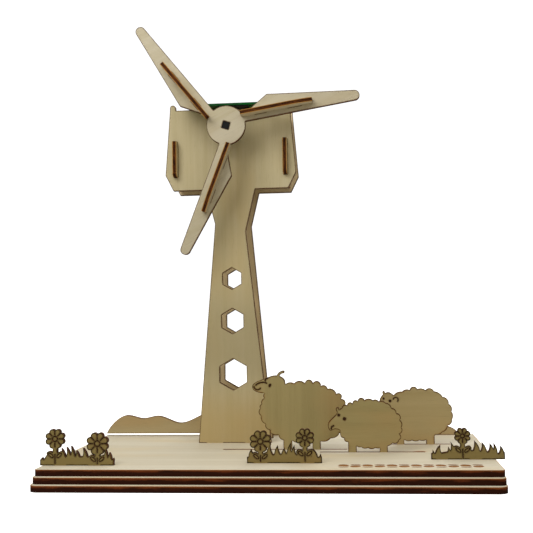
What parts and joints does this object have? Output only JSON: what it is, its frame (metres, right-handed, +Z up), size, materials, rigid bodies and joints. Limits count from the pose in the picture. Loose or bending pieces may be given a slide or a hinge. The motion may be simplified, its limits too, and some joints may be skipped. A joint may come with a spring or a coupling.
{
  "type": "plywood windmill model",
  "caption": "Slot-together plywood windmill on a stepped meadow base, with a spinning rotor on a small motor, a roof solar panel, sheep, hills and flowering grass.",
  "frame": {"origin": "centre of the base's underside, on the surface it stands on", "axes": "+Z up along the tower, +X to the viewer's right, -Y towards the viewer, whom the rotor faces"},
  "size_m": [0.2899, 0.186, 0.315],
  "materials": {
    "plywood": "bare veneer with laser-burnt edges",
    "motor_steel": "satin",
    "shaft_steel": "ground",
    "brass_bearing": "satin",
    "brass_tag": "tinned",
    "black_plastic": "moulded",
    "green_board": "solder mask",
    "dark_cell": "clear resin over silicon",
    "black_pad": "foam tape"
  },
  "bodies": {
    "stand": {"base_layer_bottom": "plywood", "base_layer_middle": "plywood", "base_layer_top": "plywood", "grass_strip_left": "plywood", "grass_strip_middle": "plywood", "grass_strip_right": "plywood", "head_side_panel_left": "plywood", "head_side_panel_right": "plywood", "hill_left": "plywood", "hill_right": "plywood", "motor_bulkhead": "plywood", "motor_can": "motor_steel", "motor_end_cap": "black_plastic", "motor_nose": "brass_bearing", "motor_stay_left": "plywood", "motor_stay_right": "plywood", "motor_terminal_left": "brass_tag", "motor_terminal_right": "brass_tag", "sheep_back": "plywood", "sheep_big": "plywood", "sheep_small": "plywood", "solar_cell_1": "dark_cell", "solar_cell_2": "dark_cell", "solar_cell_3": "dark_cell", "solar_cell_4": "dark_cell", "solar_panel_board": "green_board", "solar_panel_pad": "black_pad", "tower_plate_front": "plywood", "tower_plate_rear": "plywood"},
    "rotor": {"motor_shaft": "shaft_steel", "rotor_boss": "black_plastic", "rotor_plate": "plywood", "rotor_rib_1": "plywood", "rotor_rib_2": "plywood", "rotor_rib_3": "plywood"}
  },
  "joints": [
    {"name": "rotor_spin", "type": "hinge", "parent": "stand", "child": "rotor", "pos_m": [-0.0342, 0.015, 0.2406], "axis": [0, 1, 0], "continuous": true}
  ]
}
